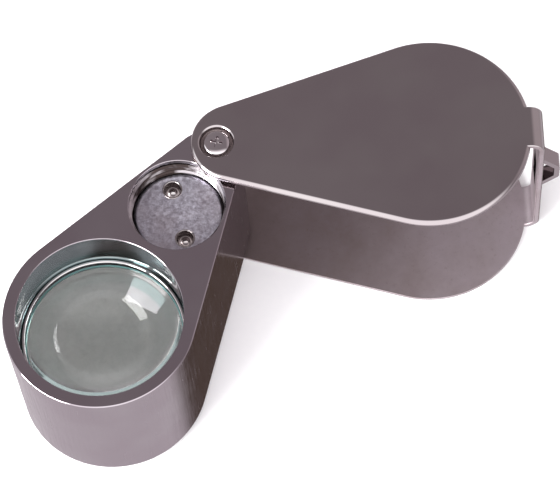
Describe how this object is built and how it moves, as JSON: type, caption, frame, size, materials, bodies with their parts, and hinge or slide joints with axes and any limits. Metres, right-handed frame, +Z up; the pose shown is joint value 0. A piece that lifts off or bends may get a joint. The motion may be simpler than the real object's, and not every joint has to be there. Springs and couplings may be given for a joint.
{
  "type": "folding viewing loupe",
  "caption": "Folding metal viewing loupe: a lamp-lit lens housing swings out of a U-shaped sheet cover on pivot screws, with a slide switch and a screw-in battery cap.",
  "frame": {"origin": "centre of the cover's round end, on the flat underside that rests on the table", "axes": "+X from the pivot along the cover to the strap and lanyard loop, +Z up out of the table, parallel to the pivot axis"},
  "size_m": [0.0839, 0.0561, 0.029],
  "materials": {
    "chrome": "polished",
    "satin_steel": "satin",
    "brass": "satin",
    "glass": "polished",
    "nylon": "matte",
    "black_plastic": "matte",
    "red_plastic": "matte",
    "board_green": "satin",
    "clear_plastic": "gloss"
  },
  "bodies": {
    "cover": {"cover": "chrome"},
    "lens_housing": {"lens_housing": "chrome", "pivot_screw_upper": "chrome", "pivot_screw_lower": "chrome", "pivot_washer_upper": "nylon", "pivot_washer_lower": "nylon", "magnifying_lens": "glass", "lens_retaining_ring": "chrome", "button_cell_1": "satin_steel", "button_cell_2": "satin_steel", "button_cell_3": "satin_steel", "battery_sleeve": "black_plastic", "cell_contact_plate": "brass", "lamp_board": "board_green", "resistor": "black_plastic", "lamp_led": "clear_plastic", "switch_body": "satin_steel", "switch_lead_red": "red_plastic", "switch_lead_black": "black_plastic"},
    "contact_spring": {"battery_contact_spring": "brass"},
    "battery_cap": {"battery_cap": "satin_steel"},
    "switch_slider": {"switch_slider": "black_plastic"}
  },
  "joints": [
    {"name": "lens_swing", "type": "hinge", "parent": "cover", "child": "lens_housing", "pos_m": [-0.0318, 0, 0.0145], "axis": [0, 0, 1], "continuous": true},
    {"name": "cap_lift", "type": "slide", "parent": "lens_housing", "child": "contact_spring", "axis": [0, 0, 1], "range_m": [0, 0.004]},
    {"name": "cap_turn", "type": "hinge", "parent": "contact_spring", "child": "battery_cap", "pos_m": [-0.03801, -0.0092, 0.0225], "axis": [0, 0, 1], "range_deg": [0, 1440]},
    {"name": "switch_slide", "type": "slide", "parent": "lens_housing", "child": "switch_slider", "axis": [-0.789, -0.6144, 0], "range_m": [0, 0.002]}
  ],
  "couplings": [
    {"joint": "cap_lift", "follows": "cap_turn", "m_per_rad": 0.000159}
  ]
}
